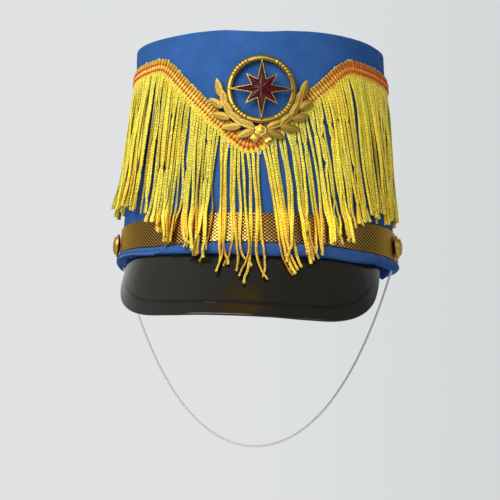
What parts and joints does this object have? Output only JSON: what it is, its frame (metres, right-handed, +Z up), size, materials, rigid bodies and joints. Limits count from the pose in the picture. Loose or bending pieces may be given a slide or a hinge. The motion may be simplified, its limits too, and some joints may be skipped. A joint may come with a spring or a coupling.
{
  "type": "shako hat",
  "caption": "Stiff tapered parade shako in blue cloth with a hanging gold-yellow cord fringe, wreath badge, gold band, padded hem, glossy black peak and thin chin elastic.",
  "frame": {"origin": "middle of the head opening, level with the lowest edge of the hem at the front", "axes": "+Z up along the crown's axis, -Y to the front where the peak and badge are, +X to the wearer's left; the head comes in from below"},
  "size_m": [0.1994, 0.2224, 0.2734],
  "materials": {
    "blue_twill": "royal blue twill over stiff board",
    "blue_hem": "royal blue cloth strip, softly padded",
    "gold_band": "gold foil ribbon with a fine diamond weave",
    "gold_metal": "bright gold plated stamping",
    "black_gloss": "glossy black moulded plastic",
    "yellow_cord": "shiny rayon cord in golden yellow",
    "red_enamel": "dark red enamel",
    "white_elastic": "white covered elastic"
  },
  "bodies": {
    "root": {"crown_wall": "blue_twill", "crown_top": "blue_twill", "hem_binding": "blue_hem", "hem_tab": "blue_hem", "gold_band": "gold_band", "button_left": "gold_metal", "button_right": "gold_metal", "peak": "black_gloss", "fringe": "yellow_cord", "cap_badge": "gold_metal", "badge_star": "red_enamel", "chin_elastic": "white_elastic"}
  },
  "joints": []
}
